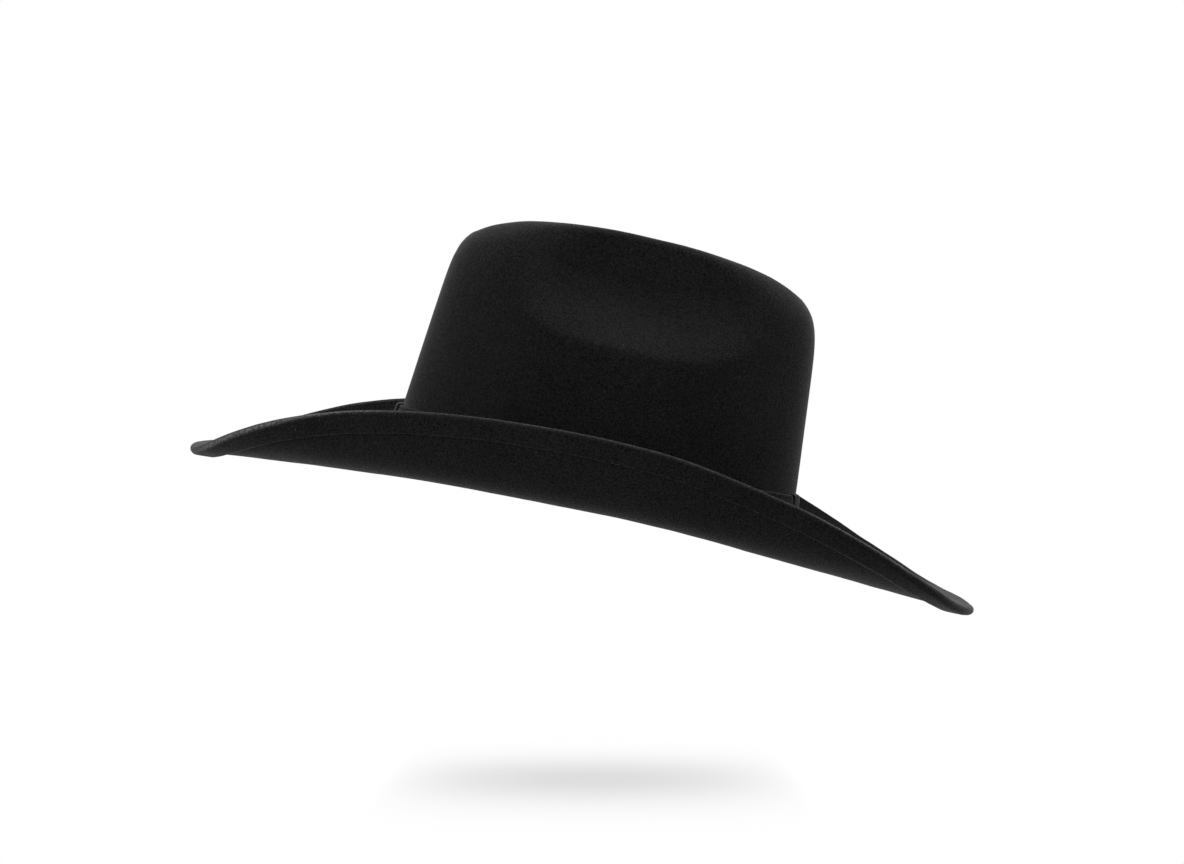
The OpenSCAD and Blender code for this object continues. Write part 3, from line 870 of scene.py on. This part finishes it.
def sweat_stitches():
    parts = []
    count = 170
    for j in range(count):
        theta = 2 * np.pi * (j + 0.5) / count
        inward = unit(-outward(theta) - UP * 0.55)
        parts.append(stitch_on(reed_line, theta, inward, 1.2, length=2.2, sink=0.25))
    make("sweatband_sewing", join(parts), THREAD, "sweatband_stitching")


def seam_tape():
    """Tape up the inside of the sweatband at the back."""
    u, v = fractions(rounded(TAPE_T, 37.0, 0.15, 3, extra_y=18), TAPE_T, 37.0)
    theta = np.radians(np.linspace(-185, -175, 22))[:, None]
    height = 6 + 37 * v
    relax = sweat_relax(np.pi, (height - SWEAT_FOOT) / SWEAT_H)
    mesh = strip_grid(wall(theta, height, SWEAT_FACE + TAPE_T * u + relax + 0.05))
    make("seam_cover_tape", mesh, TAPE, "sweatband_seam_tape")


def seam_stitches():
    """Slanting tan stitches down both sides of the seam tape."""
    parts = []
    depth = SWEAT_FACE + TAPE_T + 0.5
    for k in range(8):
        for side in (-1, 1):
            height = 9 + k * 4.2
            low = wall(np.pi, height, depth) + np.array([0, side * 4.2, 0])
            high = wall(np.pi, height + 2.6, depth) + np.array([0, side * 6.6, 0])
            centre = (low + high) / 2 + np.array([0.2, 0, 0])
            parts.append(
                stitch(centre, high - low, [1, 0, 0], length=3.0, radius=0.26, sink=0.3, steps=8)
            )
    mesh = join(parts)
    make("seam_cross_stitches", mesh, TAN_THREAD, "sweatband_seam_stitching")


def ribbon(path, side, width, thickness=0.3):
    """A flat ribbon on a centre path; side is the direction of its width."""
    side = unit(np.tile(np.array(side, float), (len(path), 1)))
    normal = unit(np.cross(unit(np.gradient(path, axis=0)), side)) * (thickness / 2)
    across = np.linspace(-0.5, 0.5, 7)
    upper = [path + side * (k * width[:, None]) + normal for k in across]
    lower = [path + side * (k * width[:, None]) - normal for k in across[::-1]]
    return strip_grid(np.stack(upper + lower, 1))


def bow():
    """Two loops, two tails and a knot, inside the back of the sweatband."""
    centre = np.array([-(CROWN_X - LEAN_X[1] * 10) + SWEAT_FACE + 4.6, 0, 9.0])
    parts = []
    for side in (-1, 1):
        # a loop lying almost flat: out along the front, back along the rear
        a = np.linspace(0, 2 * np.pi, 40)
        fold = 1 - np.cos(a)
        loop = np.stack([0.55 * np.sin(a), side * (1.2 + 6.6 * fold), 0.45 * fold], -1)
        # the ends reach sin(pi), just above zero
        parts.append(
            ribbon(centre + loop, (0.06 * side, 0, 1.0), 2.6 + 4.6 * np.sin(a / 2) ** 0.8)
        )
        b = np.linspace(0, 1, 24)
        tail = [0.35 + 0.3 * np.sin(b * 5), side * (0.6 + 4.2 * b), -1.2 - 7.2 * b]
        parts.append(
            ribbon(centre + np.stack(tail, -1), (0.0, 1.0, 0.25 * side), 2.4 + 1.8 * b)
        )
    profile = rounded(4.4, 0.4, 0.18, 3, extra_x=4)
    knot = []
    for a in full_turn(28):
        cos, sin = math.cos(a), math.sin(a)
        x = (1.05 + profile[:, 1]) * cos
        y = profile[:, 0] * (1 - 0.12 * abs(sin))
        z = (1.9 + profile[:, 1]) * sin
        knot.append(centre + np.stack([x, y, z], -1))
    parts.append(ring_grid(np.array(knot)))
    make("sweatband_bow_ribbon", join(parts), BOW_RIBBON, "sweatband_bow")


# ---------------------------------------------------------------- lining
def liner_gap(z):
    return 3.0 + 2.6 * ease(z, 53, 13)


def liner_depth(theta, z):
    """Depth of the lining's outer face inside the crown, with its pleats."""
    phase = theta + 0.03 * np.sin(9 * theta)
    pleat = 0.75 + 0.75 * np.sin(64 * phase + 1.2 * np.sin(5 * theta))
    pleat = pleat + 0.3 * np.sin(27 * theta + z * 0.04)
    return liner_gap(z) + np.maximum(0, ease(z, 50, 24) * pleat)


def liner():
    theta = full_turn(768)
    heights = np.concatenate([np.linspace(12, 50, 8), np.linspace(52, LINER_TOP, 22)])
    inner = [crown_in(theta, z, liner_depth(theta, z) + SATIN_T) for z in heights[::-1]]
    outer = [crown_in(theta, z, liner_depth(theta, z)) for z in heights]
    make("satin_lining_wall", ring_grid(np.stack(inner + outer)), SATIN, "liner_side")


def liner_rim(theta):
    return crown_in(theta, LINER_TOP, liner_gap(LINER_TOP) + 0.25)


def liner_tip():
    """The lining's top panel, gathered towards its rim."""
    theta = full_turn(256)
    centre = np.array([0, 0, LINER_TOP + 3.0])
    reaches = np.concatenate([np.linspace(0.03, 0.9, 44), [0.93, 0.96, 0.98, 1.0]])
    rim = liner_rim(theta) + UP * 0.35
    gathers = 0.35 * np.sin(48 * theta + 3 * np.sin(4 * theta)) + 0.2 * np.sin(21 * theta)

    def row(k, lift):
        points = rim * k + centre * (1 - k) + UP * (lift - 2.6 * (k * k - k))
        strength = max(0, (k - 0.45) / 0.55) ** 1.5 * (1 - max(0, (k - 0.93) / 0.07))
        points[:, 2] += gathers * strength + 0.5
        points[:, 2] += cloth_noise(points, wavelength=34, seed=5.0) * 1.1 * (1 - k**6)
        return points

    thickness = 0.4
    top = [row(k, thickness) for k in reaches]
    bottom = [row(k, 0.0) for k in reaches[::-1]]
    middle = top[0].mean(0)
    mesh = pole_grid(middle, np.stack(top + bottom), middle - UP * thickness)
    make("satin_lining_tip", mesh, SATIN, "liner_tip")


def piping():
    """A twisted cord inside the lining's rim."""
    theta = full_turn(720)
    centre = liner_rim(theta) - outward(theta) * 2.8 - UP * 1.8
    section = []
    for k in reversed(range(16)):
        angle = 2 * np.pi * k / 16
        section.append((angle, 0.6 + 0.08 * np.cos(2 * (angle - 90 * theta))))
    mesh = carry_round(theta, centre, section)
    make("lining_piping_cord", mesh, TAPE, "liner_piping")


def liner_seam():
    """A line of stitches up the back of the lining."""

    def point(z):
        return crown_in(np.pi, z, liner_depth(np.pi, z) + SATIN_T + 0.12)

    parts = []
    for z in np.arange(50, 77.1, 1.5):
        along = point(z + 0.5) - point(z)
        inward = -crown_normal(np.pi, z)
        parts.append(stitch(point(z), along, inward, length=1.0, radius=0.16, sink=0.15))
    make("lining_back_seam", join(parts), THREAD, "liner_seam_stitching")


def size_tag():
    steps = 24
    theta = np.radians(np.linspace(146, 156, steps))[:, None]
    u, v = fractions(rounded(0.2, 20.0, 0.08, 2, extra_y=12), 0.2, 20.0)
    height = 32 + 20 * v
    # the two top corners are lowered
    i = np.arange(steps)
    corner = 1 - np.minimum(1, np.minimum(i, steps - 1 - i) / 2.0)
    height = height - corner[:, None] * ease(height, 50, 2)
    mesh = strip_grid(wall(theta, height, 3.66 + 0.2 * u))
    make("blank_size_tag", mesh, TAG, "size_tag")


felt_body()
brim_stitches()
hat_band()
band_stitches()
keepers()
sweatband()
reed()
reed_cover()
sweat_stitches()
seam_tape()
seam_stitches()
bow()
liner()
liner_tip()
piping()
liner_seam()
size_tag()

# ---------------------------------------------------------------- camera
scene = bpy.context.scene
scene.view_settings.view_transform = "Standard"
scene.view_settings.look = "None"
scene.view_settings.exposure = 0.0
scene.view_settings.gamma = 1.0

ELEVATION, YAW, ROLL = math.radians(1.934), math.radians(0.225), math.radians(11.8)
CAMERA_DISTANCE = 1272.6
TARGET = np.array([-5.1, 0, 23.0])

forward = np.array([
    math.sin(YAW) * math.cos(ELEVATION),
    math.cos(YAW) * math.cos(ELEVATION),
    -math.sin(ELEVATION),
])
level_right = np.array([math.cos(YAW), -math.sin(YAW), 0.0])
level_up = np.cross(level_right, forward)
view_right = level_right * math.cos(ROLL) + level_up * math.sin(ROLL)
view_up = -level_right * math.sin(ROLL) + level_up * math.cos(ROLL)


def add_camera():
    """Looks along +Y at the hat's -Y side, front to the right."""
    data = bpy.data.cameras.new("camera")
    data.sensor_fit = "HORIZONTAL"
    data.sensor_width = 36.0
    data.lens = 76.265714
    data.clip_start, data.clip_end = 0.05, 60
    camera = bpy.data.objects.new("camera", data)
    axes = Matrix((Vector(view_right), Vector(view_up), Vector(-forward))).transposed()
    place = Vector((TARGET - CAMERA_DISTANCE * forward) * MM)
    camera.matrix_world = Matrix.Translation(place) @ axes.to_4x4()
    scene.collection.objects.link(camera)
    scene.camera = camera


# ---------------------------------------------------------------- floor (metres)
FLOOR_CENTRE = (TARGET - view_up * 176.0) * MM
FLOOR_TILT = math.radians(3.4)
FLOOR_HALF = 14.0
FLOOR_X = np.array([math.cos(ROLL), 0, math.sin(ROLL)])  # level in the picture
FLOOR_Y = np.array([0, 1.0, 0]) * math.cos(FLOOR_TILT) - view_up * math.sin(FLOOR_TILT)
SHADE_X, SHADE_Y = 0.1045, 0.0717  # half length and spread of the shade
SHADE_POWER, SHADE_DEPTH = 0.85, 0.272
BOUNCE = 0.585  # floor brightness for all but camera rays


def floor_material():
    """White, running into the background, with one soft pool of painted shade below the hat."""
    material = bpy.data.materials.new("floor_pale")
    material.use_nodes = True
    tree = material.node_tree
    tree.nodes.clear()
    coordinates = add_node(tree, "TexCoord").outputs["Object"]

    def calc(operation, a, b=0.0, clamp=False):
        return add_math(tree, operation, a, b, clamp)

    def squared_place(axis, unit_length):
        inputs = {0: coordinates, 1: tuple(FLOOR_CENTRE)}
        offset = add_node(tree, "VectorMath", inputs, operation="SUBTRACT").outputs[0]
        inputs = {0: offset, 1: tuple(axis)}
        dot = add_node(tree, "VectorMath", inputs, operation="DOT_PRODUCT")
        place = calc("DIVIDE", dot.outputs["Value"], unit_length)
        return calc("MULTIPLY", place, place)

    # painted shadow: the floor's glow is dimmed in a soft oval below the hat
    inside = calc("SUBTRACT", 1.0, squared_place(FLOOR_X, SHADE_X), clamp=True)
    across = calc("POWER", inside, SHADE_POWER)
    deep = calc("EXPONENT", calc("MULTIPLY", squared_place(FLOOR_Y, SHADE_Y), -0.5))
    pool = calc("MULTIPLY", calc("MULTIPLY", across, deep), SHADE_DEPTH)
    shade = calc("SUBTRACT", 1.0, pool)
    # white to the camera; the light it throws back up at the hat is softer
    camera_ray = add_node(tree, "LightPath").outputs["Is Camera Ray"]
    level = calc("ADD", BOUNCE, calc("MULTIPLY", camera_ray, 1 - BOUNCE))
    glow = add_node(tree, "Emission", {0: rgba(1), 1: calc("MULTIPLY", shade, level)})
    backfacing = add_node(tree, "NewGeometry").outputs["Backfacing"]
    clear = add_node(tree, "BsdfTransparent")
    mixed = add_node(tree, "MixShader", {0: backfacing, 1: glow.outputs[0], 2: clear.outputs[0]})
    add_node(tree, "OutputMaterial", {0: mixed.outputs[0]})
    return material


def add_floor():
    data = bpy.data.meshes.new("floor")
    corners = ((-1, -1), (1, -1), (1, 1), (-1, 1))
    points = [FLOOR_CENTRE + (FLOOR_X * a + FLOOR_Y * b) * FLOOR_HALF for a, b in corners]
    data.from_pydata([tuple(point) for point in points], [], [(0, 1, 2, 3)])
    floor = bpy.data.objects.new("floor", data)
    scene.collection.objects.link(floor)
    data.materials.append(floor_material())


# ---------------------------------------------------------------- world and lights (metres)
def add_world():
    """White to the camera, faint as a light."""
    world = bpy.data.worlds.new("world")
    scene.world = world
    world.use_nodes = True
    tree = world.node_tree
    tree.nodes.clear()
    faint = add_node(tree, "Background", {0: rgba(1), 1: 0.055}).outputs[0]
    white = add_node(tree, "Background", {0: rgba(1), 1: 1.0}).outputs[0]
    camera_ray = add_node(tree, "LightPath").outputs["Is Camera Ray"]
    mixed = add_node(tree, "MixShader", {0: camera_ray, 1: faint, 2: white})
    add_node(tree, "OutputWorld", {0: mixed.outputs[0]})


LIGHT_AIM = Vector((0, 0, 0.04))
LIGHTS = (  # name, position, side of the square, watts
    ("top_soft", (0, 0, 1.3), 1.1, 13.4),
    ("top_front_soft", (0.75, 0, 1.05), 0.9, 4.7),
    ("near_left_soft", (-0.95, -1.0, 0.25), 0.8, 9.2),
    ("near_right_soft", (0.95, -1.0, 0.25), 0.8, 2.6),
    ("far_soft", (0, 1.2, 0.8), 0.9, 2.9),
    ("far_left_soft", (-1.2, 0.6, 0.4), 0.8, 7.7),
    ("far_right_soft", (1.2, 0.6, 0.4), 0.8, 4.5),
)


def add_light(name, position, size, watts):
    data = bpy.data.lights.new(name, "AREA")
    data.shape = "RECTANGLE"
    data.size = data.size_y = size
    data.energy = watts
    light = bpy.data.objects.new(name, data)
    light.location = position
    aim = LIGHT_AIM - Vector(position)
    light.rotation_euler = aim.to_track_quat("-Z", "Y").to_euler()
    scene.collection.objects.link(light)
    light.visible_camera = False


add_camera()
add_floor()
add_world()
for light_row in LIGHTS:
    add_light(*light_row)
